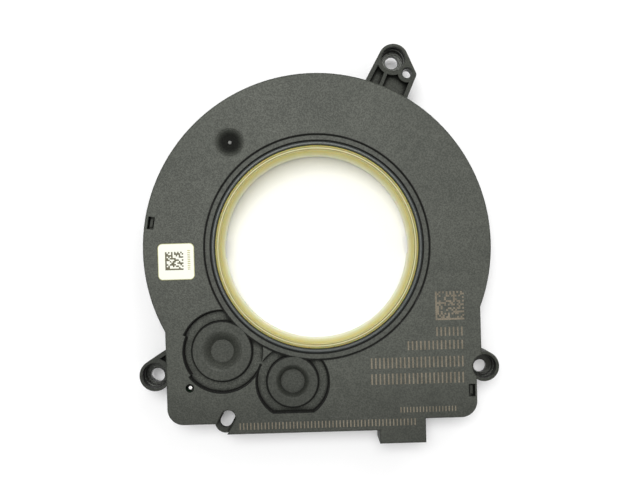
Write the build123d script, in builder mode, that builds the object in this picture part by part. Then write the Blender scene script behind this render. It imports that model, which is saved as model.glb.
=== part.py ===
from build123d import *
from math import acos, cos, pi, radians, sin, sqrt, tan
import os

os.makedirs("parts", exist_ok=True)

# Steering angle sensor, in millimetres.
# The origin is on the bore axis, in the mounting plane under the three ears. +Z leaves the
# front face, +Y points to the upper ear and +X to the right, seen from the front.

# Levels along the bore axis
face_level = 10.2  # front face of the cover
seam_level = 7.0  # parting line between the cover's skirt and the housing
collar_length = 6.0  # centring collar behind the mounting plane

# Outline of the body, as distances from the bore axis
disc_radius = 48.8
left_edge = 43.2
right_edge = 45.3
right_edge_low = 43.75  # below the right ear
lower_edge = 48.9
middle_edge = 51.9
corner_radius = 4.5

# Connector tongue
tongue_left = 16.2
tongue_width = 12.95
tongue_edge = 55.65

# Walls and gaps
wall = 2.3
floor_thickness = 1.2
rear_recess = 0.6  # depth of the panels between the ribs on the rear face
rib_width = 1.4
rib_count = 12
rib_start = 15.0  # degrees
plate_thickness = 1.5
skirt_wall = 1.2
lap_gap = 0.1  # between the cover's skirt and whatever of the housing is beside it
face_edge_chamfer = 0.3

# Ears, each placed by the middle of its screw cup
left_ear_outside = 3.3  # beyond the body's left edge
right_ear_outside = 0.8
side_ear_height = 14.0  # both side ears above the body's lower edge
top_ear_outside = 8.334  # beyond the disc
top_ear_angle = 66.26
ear_radius = 4.2
left_ear_radius = 4.4
ear_drop = 1.0  # top of the ears below the front face
ear_rim = 1.2  # wall round an ear's pockets
ear_pocket_depth = 2.2
cup_radius = 3.4
left_cup_radius = 3.6
cup_foot_inset = 0.3  # foot of a cup inside its wall
cup_foot_height = 2.2
ear_floor = 1.8  # thickness of the wall that the screw hole is in
ear_recess_depth = 2.2  # under that wall
ear_recess_radius = 2.9
screw_hole_radius = 1.85
left_hole_radius = 2.0
side_hole_shift = -0.2  # from the middle of a side ear's cup to its screw hole, along X
side_hole_drop = 0.6  # and against Y
left_web_slope = 32.1  # edge of the left ear's web, in degrees from +X
upper_web_thickness = 4.2
upper_web_slant = 42.6  # side of the upper ear's web past its screw hole, in degrees
upper_web_reach = 12.2  # from the screw hole towards the bore
upper_web_left = 5.3
upper_web_right = 7.8
upper_web_shoulder = 1.6
upper_web_round = 1.2
upper_rib_width = 1.0
upper_rib_offset = 0.4

# Locating hole in the upper ear and locating slot opposite it, on one line through the bore
locating_angle = 60.9
locating_hole_outside = 6.4  # beyond the disc
locating_hole_radius = 1.3
locating_rim_radius = 1.5
locating_rim_depth = 0.8
slot_gear_gap = 6.6  # from the tips of the large gear's teeth to the notch round the slot
slot_travel = 2.2
slot_radius = 1.68
slot_notch_radius = 2.0
slot_wall = 1.45
lobe_drop = 0.7  # top of the lobe round the slot, below the seam
lobe_thickness = 1.8

# Hub
bore_radius = 27.0
hub_wall = 1.55
hub_sink = 0.4  # front of the hub below the front face
hub_rear_gap = 0.4  # rear of the hub inside the collar
hub_clearance = 0.1
hub_edge_chamfer = 0.35
drive_slot_width = 5.0
drive_slot_depth = 2.5
collar_wall = 1.55
centring_wall = 2.3  # of the collar behind the mounting plane
centring_chamfer = 0.6
axial_play = 0.2

# Gears
gear_module = 0.8
pressure_angle = 20.0
dedendum = 1.25  # depth of the root below the pitch radius, as a share of the module
tooth_thinning = 0.08
hub_teeth = 76
large_teeth = 23
small_teeth = 20
large_gear_angle = 226.1
small_gear_angle = 258.2
teeth_width = 2.4
hub_teeth_overlap = 0.2  # the hub's teeth are wider than the gears' by this on each side
gear_clearance = 0.08
gear_web = 0.8  # between the magnet and the spigot
gear_top_gap = 0.3
gear_shoulder_gap = 0.2  # between a gear's shoulder and the lip that keeps it on its spigot

# Front of the cover
land_radius = 31.75
land_depth = 0.3
cover_skin = 1.1  # where the cover is sunk
large_pocket_radius = 11.6
large_pocket_step = 0.75
large_pocket_step_from = 156.0
large_pocket_step_to = 216.0
small_pocket_radius = 10.26
small_pocket_flat = 8.56
groove_radius = 29.9
groove_width = 0.4
groove_depth = 0.6
bead_chamfer = 0.3
rim_gap = 0.15
large_dome_radius = 8.37
small_dome_radius = 7.13
dome_gap = 0.25
large_dish_radius = 5.75
small_dish_radius = 4.75
large_dish_flat = 3.2
small_dish_flat = 3.35
dish_steps = 4  # rings that the sloping wall of a dish is made of
dish_fall = 1.7  # the greater, the more a dish's wall steepens on its way down
spigot_wall = 0.35
spigot_lip = 0.2
spigot_lip_height = 0.35
gate_inset = 10.63  # from the edge of the disc
gate_angle = 128.19
gate_radius = 3.9
gate_core_radius = 2.0
gate_depth = 1.1
gate_skin = 0.9
gate_nub_radius = 0.6
gate_nub_height = 0.5
gate_nub_taper = 15.0  # degrees

# Dowel seen through a small hole in the cover
dowel_gear_gap = 3.66  # from the tips of the large gear's teeth to the dowel's middle
dowel_angle = 227.4  # seen from the middle of that gear
dowel_hole_radius = 1.2
dowel_radius = 0.5
dowel_drop = 1.2
dowel_seat = 3.0
dowel_post_radius = 1.4
dowel_post_top = 6.0

# Latches of the housing in windows of the cover
left_latch_inset = 1.83  # from the edge of the disc
left_latch_angle = 170.2
right_latch_inset = 1.45  # from the body's right edge
right_latch_height = 7.54  # above the body's lower edge
latch_window_width = 1.8
latch_window_length = 3.5
latch_width = 0.8
latch_length = 2.3
latch_drop = 1.1

# Circuit board
board_thickness = 1.2
board_gap = 0.5  # under the board
board_top_edge = 6.0
board_margin = 0.6
board_collar_gap = 0.8
stake_radius = 0.8
stake_hole_gap = 0.1
stake_head_radius = 1.3
stake_head_height = 0.5
stake_head_taper = 25.0  # degrees
stake_shoulder_radius = 1.6

# Connector socket and contact pins
socket_width = 9.8
socket_height = 4.8
socket_depth = 10.4
socket_back = 1.4
socket_side = 1.3  # wall beside the socket inside the body
coding_rib_width = 1.2
coding_rib_height = 0.6
plug_latch_width = 3.2
plug_latch_length = 2.4
plug_latch_setback = 2.0
pin_count = 4
pin_pitch = 2.2
pin_side = 0.64
pin_lift = 0.5  # middle of the pins above the board
pin_tip_gap = 3.6  # from the mouth of the socket
pin_gap = 0.03
pin_reach = 3.2  # from the socket's back wall to the row of board holes
pin_tail = 0.3
pin_hole_radius = 0.5

# Magnets and chips
magnet_radius = 2.5
magnet_height = 1.3
magnet_gap = 0.02
chip_gap = 0.5  # from an angle sensor chip to the magnet over it

# Electronic parts as (length, width, height)
angle_chip_size = (4.9, 3.9, 0.9)
controller_size = (9.0, 9.0, 1.3)
transceiver_size = (4.9, 3.9, 1.4)
regulator_size = (6.1, 5.3, 2.2)
choke_size = (4.5, 3.2, 2.6)
crystal_size = (5.0, 3.2, 1.1)
diode_size = (4.3, 2.7, 2.0)
tantalum_size = (3.5, 2.8, 1.9)
ceramic_size = (1.6, 0.8, 0.8)
resistor_size = (1.6, 0.8, 0.45)
controller_lead_count = 8  # on each side
side_lead_count = 4  # on each side of the angle chips and the transceiver
regulator_lead_count = 3
lead_width = 0.4
lead_reach = 0.9
lead_overlap = 0.2  # of a lead into its chip
lead_thickness = 0.2
chip_taper = 5.0  # degrees
block_chamfer = 0.1  # as a share of a block's height

# Places on the board: angles in degrees on the middle line of its ring, and offsets in x and y
# from a point with a name
controller_angle = 328.0
controller_gap = 7.45  # from the board's round edge to the controller's middle
regulator_angle = 286.0
regulator_gap = 7.1
stake_angles = [195.0, 345.0]
stake_offsets = [("below the gear", -10.7, 1.0), ("left of the socket", -9.8, 3.0), ("controller", 5.9, -8.6)]
transceiver_offset = ("contacts", 0.0, 4.4)
choke_offset = ("right of the socket", 2.9, 7.2)
diode_offset = ("right of the socket", 3.2, 2.6)
crystal_angle = 355.0
tantalum_angles = [205.0, 310.0]
ceramic_angle = 200.0
ceramic_offsets = [
    ("below the gear", -5.6, 2.0),
    ("below the gear", -5.6, 0.4),
    ("contacts", -6.9, 4.0),
    ("right of the socket", -1.5, 7.35),
    ("controller", 5.0, -16.2),
]
resistor_angles = [2.0, 178.0, 183.0, 339.0]
resistor_offsets = [("below the gear", 5.9, 0.4), ("contacts", -5.9, 2.6)]

# Code label
label_inset = 9.3  # from the edge of the disc
label_drop = 3.0  # below the bore axis
label_side = 10.2
label_thickness = 0.08
label_corner = 1.3


def polar(distance, angle):
    """Point at a distance from the bore axis, with its angle in degrees from +X."""
    return (distance * cos(radians(angle)), distance * sin(radians(angle)))


def pitch_radius(teeth):
    """Pitch radius of a gear with that many teeth."""
    return gear_module * teeth / 2


# Levels worked out from the driving ones, from the rear to the front
mounting_level = 0.0
floor_level = mounting_level + rear_recess
floor_top = floor_level + floor_thickness
board_level = floor_top + board_gap
board_top = board_level + board_thickness
teeth_level = board_top + angle_chip_size[2] + chip_gap
teeth_top = teeth_level + teeth_width
hub_teeth_level = teeth_level - hub_teeth_overlap
hub_teeth_top = teeth_top + hub_teeth_overlap
collar_top = hub_teeth_level - axial_play
sunk_under = hub_teeth_top + axial_play
pocket_level = sunk_under + cover_skin
magnet_top = teeth_level + magnet_height
gear_cup_floor = magnet_top + gear_web
spigot_end = gear_cup_floor + axial_play
dish_level = spigot_end + cover_skin
land_level = face_level - land_depth
dome_under = land_level - cover_skin
gear_top = dome_under - gear_top_gap
gear_shoulder = spigot_end + spigot_lip_height + gear_shoulder_gap
plate_under = face_level - plate_thickness
lip_top = plate_under - lap_gap
ear_top = face_level - ear_drop
hub_front = face_level - hub_sink
hub_rear = hub_rear_gap - collar_length

# Radii and places worked out from the driving ones
hub_radius = bore_radius + hub_wall
collar_bore = hub_radius + hub_clearance
collar_radius = collar_bore + collar_wall
centring_radius = collar_bore + centring_wall
left_ear = (-left_edge - left_ear_outside, side_ear_height - lower_edge)
right_ear = (right_edge + right_ear_outside, side_ear_height - lower_edge)
top_ear = polar(disc_radius + top_ear_outside, top_ear_angle)
left_hole = (left_ear[0] + side_hole_shift, left_ear[1] - side_hole_drop)
right_hole = (right_ear[0] + side_hole_shift, right_ear[1] - side_hole_drop)
locating_hole = polar(disc_radius + locating_hole_outside, locating_angle)
gate_place = polar(disc_radius - gate_inset, gate_angle)
latch_locations = [
    Location((*polar(disc_radius - left_latch_inset, left_latch_angle), 0), (0, 0, left_latch_angle)),
    Location((right_edge_low - right_latch_inset, right_latch_height - lower_edge, 0)),
]
label_place = (label_inset - disc_radius, -label_drop)
tongue_middle = tongue_left + tongue_width / 2
block_left = tongue_left - socket_side
block_right = tongue_left + tongue_width + socket_side
contact_row = socket_depth + socket_back + pin_reach - tongue_edge
pin_places = [tongue_middle + (i - (pin_count - 1) / 2) * pin_pitch for i in range(pin_count)]
large_gear_distance = pitch_radius(hub_teeth) + pitch_radius(large_teeth)
large_gear_place = polar(large_gear_distance, large_gear_angle)
small_gear_place = polar(pitch_radius(hub_teeth) + pitch_radius(small_teeth), small_gear_angle)
large_tip_radius = pitch_radius(large_teeth) + gear_module

# The slot is on its line through the bore, as far out as its gap to the large gear asks
slot_angle = locating_angle + 180
gear_along, gear_beside = polar(large_gear_distance, slot_angle - large_gear_angle)
slot_reach = large_tip_radius + slot_gear_gap + slot_notch_radius
slot_distance = gear_along + sqrt(slot_reach**2 - gear_beside**2)
slot_place = polar(slot_distance, slot_angle)

dowel_offset = polar(large_tip_radius + dowel_gear_gap, dowel_angle)
dowel_place = (large_gear_place[0] + dowel_offset[0], large_gear_place[1] + dowel_offset[1])

# Points that the parts on the board are placed from
board_inner_radius = collar_radius + board_collar_gap
ring_middle = (board_inner_radius + disc_radius - wall - board_margin) / 2
board_points = {
    "below the gear": (small_gear_place[0], wall + board_margin - lower_edge),
    "left of the socket": (block_left, wall + board_margin - middle_edge),
    "right of the socket": (block_right, wall + board_margin - lower_edge),
    "contacts": (tongue_middle, contact_row),
    "controller": polar(board_inner_radius + controller_gap, controller_angle),
    "regulator": polar(board_inner_radius + regulator_gap, regulator_angle),
}


def board_places(angles, offsets):
    """Places at angles on the middle line of the board's ring, and at offsets from its points."""
    ring = [polar(ring_middle, angle) for angle in angles]
    return ring + [(board_points[point][0] + x, board_points[point][1] + y) for point, x, y in offsets]


stake_places = board_places(stake_angles, stake_offsets)

# Each ear: place, radius, radius of its cup, and place and radius of its screw hole
ears = [
    (left_ear, left_ear_radius, left_cup_radius, left_hole, left_hole_radius),
    (right_ear, ear_radius, cup_radius, right_hole, screw_hole_radius),
    (top_ear, ear_radius, cup_radius, top_ear, screw_hole_radius),
]

# Each dome of the cover: place, radius, and the radii of the dish in it at its edge and flat
domes = [
    (large_gear_place, large_dome_radius, large_dish_radius, large_dish_flat),
    (small_gear_place, small_dome_radius, small_dish_radius, small_dish_flat),
]


def involute(angle):
    """Involute function: the tangent of an angle less the angle itself."""
    return tan(angle) - angle


def tooth_half_angle(teeth, radius):
    """Half the angle that a tooth takes up at a radius, its flanks being involutes."""
    base = pitch_radius(teeth) * cos(radians(pressure_angle))
    at_pitch = pi / (2 * teeth) - tooth_thinning / (2 * pitch_radius(teeth))
    return at_pitch + involute(radians(pressure_angle)) - involute(acos(min(1, base / radius)))


def gear_outline(teeth, first_tooth):
    """Toothed outline about the origin, with the middle of one tooth at first_tooth degrees.

    Straight lines join points on the involute flanks, at the root, at the tip and, where a gear
    has few teeth and so a more curved flank, at the pitch radius.
    """
    pitch = pitch_radius(teeth)
    base = pitch * cos(radians(pressure_angle))
    root = pitch - dedendum * gear_module
    radii = [root, pitch, pitch + gear_module] if teeth < hub_teeth else [root, pitch + gear_module]
    rising = [(radius, tooth_half_angle(teeth, max(base, radius))) for radius in radii]
    tooth = [(radius, -half) for radius, half in rising] + rising[::-1]
    points = []
    for number in range(teeth):
        middle = radians(first_tooth) + 2 * pi * number / teeth
        points += [(r * cos(middle + half), r * sin(middle + half)) for r, half in tooth]
    with BuildSketch() as shape:
        with BuildLine():
            Polyline(*points, close=True)
        make_face()
    return shape.sketch


def meshing_turn(teeth, angle):
    """Turn in degrees of a gear that sits at an angle round the hub, for a hub tooth to fill a gap.

    The hub has a tooth at 0 degrees. Its tooth nearest the line of centres is off that line by a
    small angle, and the gear's gap is off it the other way by as much of the pitch circle.
    """
    hub_step = 360 / hub_teeth
    hub_tooth = round(angle / hub_step) * hub_step
    gap = angle - 180 - (hub_tooth - angle) * hub_teeth / teeth
    return gap + 180 / teeth


def outline(inset):
    """Front view of the body with every edge moved in by inset.

    A disc is joined by a squared lower half and a connector tongue. It is notched round the cup
    of the right ear and at the locating slot.
    """
    notch_middle = polar(slot_distance + slot_notch_radius, slot_angle)[0]
    with BuildSketch() as shape:
        with BuildLine():
            Polyline(
                (-left_edge + inset, 0),
                (-left_edge + inset, -lower_edge + inset),
                (right_edge_low - inset, -lower_edge + inset),
                (right_edge_low - inset, right_ear[1]),
                (right_edge - inset, right_ear[1]),
                (right_edge - inset, 0),
                close=True,
            )
        make_face()
        fillet(shape.vertices().group_by(Axis.Y)[0], radius=corner_radius - inset)
        Circle(disc_radius - inset)
        with Locations((notch_middle, -middle_edge + inset)):
            Rectangle(
                tongue_middle - notch_middle, middle_edge - bore_radius, align=(Align.MIN, Align.MIN)
            )
        with Locations((tongue_middle, -tongue_edge + inset)):
            Rectangle(
                tongue_width - 2 * inset, tongue_edge - bore_radius, align=(Align.CENTER, Align.MIN)
            )
        with Locations(right_ear):
            Circle(cup_radius + inset, mode=Mode.SUBTRACT)
        with Locations(slot_place):
            Circle(slot_notch_radius + inset, mode=Mode.SUBTRACT)
        with Locations(Location((*slot_place, 0), (0, 0, slot_angle))):
            Rectangle(
                disc_radius / 2,
                2 * (slot_notch_radius + inset),
                align=(Align.MIN, Align.CENTER),
                mode=Mode.SUBTRACT,
            )
    return shape.sketch


def slot_outline(radius):
    """Radial locating slot, or the lobe round it, with ends of that radius."""
    with BuildSketch() as shape:
        with Locations(slot_place, polar(slot_distance + slot_travel, slot_angle)):
            Circle(radius)
        with Locations(Location((*slot_place, 0), (0, 0, slot_angle))):
            Rectangle(slot_travel, 2 * radius, align=(Align.MIN, Align.CENTER))
    return shape.sketch


body_outline = outline(0)
cover_clearance = outline(-lap_gap)
skirt_inside = outline(skirt_wall)
lip_outside = outline(skirt_wall + lap_gap)
chamber_outline = outline(wall)
board_inside = outline(wall + board_margin)

# Pocket in the cover over the teeth of the two measuring gears, clear of the land round the hub.
# Its edge steps in over the large gear's outer side and is cut straight below the small gear.
with BuildSketch() as pocket_outline:
    with BuildLine():
        large_arc = CenterArc(
            large_gear_place,
            large_pocket_radius,
            large_pocket_step_to,
            360 + large_pocket_step_from - large_pocket_step_to,
        )
        Line(large_arc @ 1, large_gear_place)
        Line(large_gear_place, large_arc @ 0)
    make_face()
    with Locations(large_gear_place):
        Circle(large_pocket_radius - large_pocket_step)
    with Locations(small_gear_place):
        Circle(small_pocket_radius)
    with Locations((small_gear_place[0], small_gear_place[1] - small_pocket_flat)):
        Rectangle(
            3 * small_pocket_radius,
            small_pocket_radius,
            align=(Align.CENTER, Align.MAX),
            mode=Mode.SUBTRACT,
        )
    Circle(land_radius, mode=Mode.SUBTRACT)
    for place, dome_radius, dish_radius, dish_flat in domes:
        with Locations(place):
            Circle(dome_radius, mode=Mode.SUBTRACT)


def upright_plane(place):
    """Plane through a place in the front view, its local Y along the bore axis."""
    return Plane(origin=(*place, 0), x_dir=(1, 0, 0), z_dir=(0, -1, 0))


def dish_cutter(place, top, bottom, edge, flat):
    """Round dish to cut away: flat inside, with a wall that steepens from its edge down to the flat."""
    slope = []
    for step in range(dish_steps + 1):
        part_way = step / dish_steps
        fall = (1 - part_way) ** dish_fall
        slope.append((flat + (edge - flat) * part_way, top - (top - bottom) * fall))
    with BuildPart() as cutter:
        with BuildSketch(upright_plane(place)):
            with BuildLine():
                Polyline((0, bottom), *slope, (edge, face_level), (0, face_level), close=True)
            make_face()
        revolve(axis=Axis((*place, 0), (0, 0, 1)))
    return cutter.part


dome_dishes = [
    dish_cutter(place, land_level, dish_level, dish_radius, dish_flat)
    for place, dome_radius, dish_radius, dish_flat in domes
]
gate_dish = dish_cutter(
    gate_place, face_level - face_edge_chamfer / 4, face_level - gate_depth, gate_radius, gate_core_radius
)

# Front cover: a plate with a skirt. Its middle is sunk a little to a land round the hub, which
# runs into two domes over the measuring gears, and the deeper pocket surrounds the domes.
with BuildPart() as front_cover:
    with BuildSketch(Plane.XY.offset(seam_level)):
        add(body_outline)
    extrude(amount=face_level - seam_level)
    chamfer(front_cover.edges().group_by(Axis.Z)[-1], length=face_edge_chamfer)
    with BuildSketch(Plane.XY.offset(seam_level)):
        add(skirt_inside)
    extrude(amount=plate_under - seam_level, mode=Mode.SUBTRACT)
    # thicker underneath where the front is sunk, and round the gate dimple
    with BuildSketch(Plane.XY.offset(sunk_under)):
        Circle(land_radius + cover_skin)
        with Locations(large_gear_place):
            Circle(large_pocket_radius + cover_skin)
        with Locations(small_gear_place):
            Circle(small_pocket_radius + cover_skin)
    extrude(amount=face_level - face_edge_chamfer - sunk_under)
    with BuildSketch(Plane.XY.offset(face_level - gate_depth - gate_skin)):
        with Locations(gate_place):
            Circle(gate_radius + gate_skin)
    extrude(amount=gate_depth)
    # sunk land and domes, pocket round them
    with BuildSketch(Plane.XY.offset(land_level)):
        Circle(land_radius)
        for place, dome_radius, dish_radius, dish_flat in domes:
            with Locations(place):
                Circle(dome_radius)
    extrude(amount=land_depth, mode=Mode.SUBTRACT)
    with BuildSketch(Plane.XY.offset(pocket_level)):
        add(pocket_outline.sketch)
    extrude(amount=face_level - pocket_level, mode=Mode.SUBTRACT)
    # opening for the hub, with a bead round it and a groove behind that
    with BuildSketch(Plane.XY.offset(sunk_under)):
        Circle(hub_radius + rim_gap)
    extrude(amount=face_level - sunk_under, mode=Mode.SUBTRACT)
    with BuildSketch(Plane.XY.offset(land_level)):
        Circle(groove_radius + groove_width / 2)
        Circle(groove_radius - groove_width / 2, mode=Mode.SUBTRACT)
    extrude(amount=-groove_depth, mode=Mode.SUBTRACT)
    land_edges = front_cover.edges().filter_by(GeomType.CIRCLE).filter_by_position(
        Axis.Z, land_level, land_level
    )
    bead_edges = land_edges.sort_by(SortBy.RADIUS).filter_by(
        lambda edge: hub_radius < edge.radius < groove_radius
    )
    chamfer(bead_edges, length=bead_chamfer)
    # hollow under each dome, with the spigot that a gear turns on
    for place, dome_radius, dish_radius, dish_flat in domes:
        with BuildSketch(Plane.XY.offset(sunk_under)):
            with Locations(place):
                Circle(dome_radius - cover_skin)
        extrude(amount=dome_under - sunk_under, mode=Mode.SUBTRACT)
        with BuildSketch(Plane.XY.offset(spigot_end)):
            with Locations(place):
                Circle(dish_radius + spigot_wall)
        extrude(amount=land_level - spigot_end)
        with BuildSketch(Plane.XY.offset(spigot_end)):
            with Locations(place):
                Circle(dish_radius + spigot_wall + spigot_lip)
        extrude(amount=spigot_lip_height)
    for dish in dome_dishes:
        add(dish, mode=Mode.SUBTRACT)
    # gate dimple with the gate's nub
    add(gate_dish, mode=Mode.SUBTRACT)
    with BuildSketch(Plane.XY.offset(face_level - gate_depth)):
        with Locations(gate_place):
            Circle(gate_nub_radius)
    extrude(amount=gate_nub_height, taper=gate_nub_taper)
    # latch windows and the hole over the dowel
    with BuildSketch(Plane.XY.offset(seam_level)):
        with Locations(*latch_locations):
            Rectangle(latch_window_width, latch_window_length)
        with Locations(dowel_place):
            Circle(dowel_hole_radius)
    extrude(amount=face_level - seam_level, mode=Mode.SUBTRACT)
    front_cover.part.label = "front_cover"

# Regions of the housing in the front view
with BuildSketch() as connector_block:
    add(body_outline)
    with Locations((tongue_middle, -tongue_edge)):
        Rectangle(
            tongue_width + 2 * socket_side,
            socket_depth + socket_back,
            align=(Align.CENTER, Align.MIN),
            mode=Mode.INTERSECT,
        )

# Web of the upper ear, in the ear's own frame: its X leaves the bore. The sides are tangent to
# the ear's round end, and the locating hole is beside the rounded shoulder.
upper_ear_plane = Plane(origin=(*top_ear, 0), x_dir=(*polar(1, top_ear_angle), 0), z_dir=(0, 0, 1))
slant_x, slant_y = polar(ear_radius, upper_web_slant)
with BuildSketch(upper_ear_plane) as upper_web:
    with BuildLine():
        Polyline(
            (0, ear_radius),
            (-upper_web_reach, upper_web_left),
            (-upper_web_reach, -upper_web_right),
            (-upper_web_shoulder, -upper_web_right),
            (slant_x, -slant_y),
            (0, 0),
            close=True,
        )
    make_face()
    fillet(
        upper_web.vertices().group_by(Axis.Y)[0].sort_by(Axis.X)[-1], radius=upper_web_round
    )

# Web of the left ear, with the ear's hole as its origin
left_ear_plane = Plane(origin=(*left_ear, 0))
left_web_reach = left_ear_outside + ear_rim
left_tangent = polar(left_ear_radius, left_web_slope + 90)
left_web_rise = (left_web_reach - left_tangent[0]) * tan(radians(left_web_slope))
with BuildSketch(left_ear_plane) as left_web:
    with BuildLine():
        Polyline(
            left_tangent,
            (left_web_reach, left_tangent[1] + left_web_rise),
            (left_web_reach, 0),
            (0, 0),
            close=True,
        )
    make_face()

# Rib along the middle of the upper ear's web, between its pockets and on down to the rear
with BuildSketch(upper_ear_plane) as upper_rib:
    with Locations((0, upper_rib_offset)):
        Rectangle(upper_web_reach, upper_rib_width, align=(Align.MAX, Align.CENTER))

with BuildSketch() as ear_outlines:
    add(upper_rib.sketch)
    add(left_web.sketch)
    for place, radius, cup, hole, hole_radius in ears:
        with Locations(place):
            Circle(radius)


def web_pocket(web, plane, cup):
    """Pocket in the web of an ear, which leaves a rim along the web's sides and round the cup."""
    with BuildSketch(plane) as pocket:
        add(web.sketch_local)
        offset(amount=-ear_rim, kind=Kind.INTERSECTION, mode=Mode.REPLACE)
        Circle(cup + ear_rim, mode=Mode.SUBTRACT)
    return pocket.sketch


with BuildSketch() as ear_pockets:
    add(web_pocket(upper_web, upper_ear_plane, cup_radius))
    with Locations(locating_hole):
        Circle(locating_rim_radius + ear_rim, mode=Mode.SUBTRACT)
    add(upper_rib.sketch, mode=Mode.SUBTRACT)
    add(web_pocket(left_web, left_ear_plane, left_cup_radius))

# Panels between the ribs on the rear face
with BuildSketch() as rear_panels:
    add(chamber_outline)
    Circle(centring_radius + rib_width, mode=Mode.SUBTRACT)
    with PolarLocations(0, rib_count // 2, start_angle=rib_start, angular_range=180):
        Rectangle(3 * disc_radius, rib_width, mode=Mode.SUBTRACT)
    with Locations(left_ear, right_ear):
        Circle(ear_radius + rib_width, mode=Mode.SUBTRACT)
    add(slot_outline(slot_radius + slot_wall + rib_width), mode=Mode.SUBTRACT)
    with Locations((tongue_middle, -tongue_edge)):
        Rectangle(
            tongue_width + 2 * (socket_side + rib_width),
            socket_depth + socket_back + rib_width,
            align=(Align.CENTER, Align.MIN),
            mode=Mode.SUBTRACT,
        )

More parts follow.
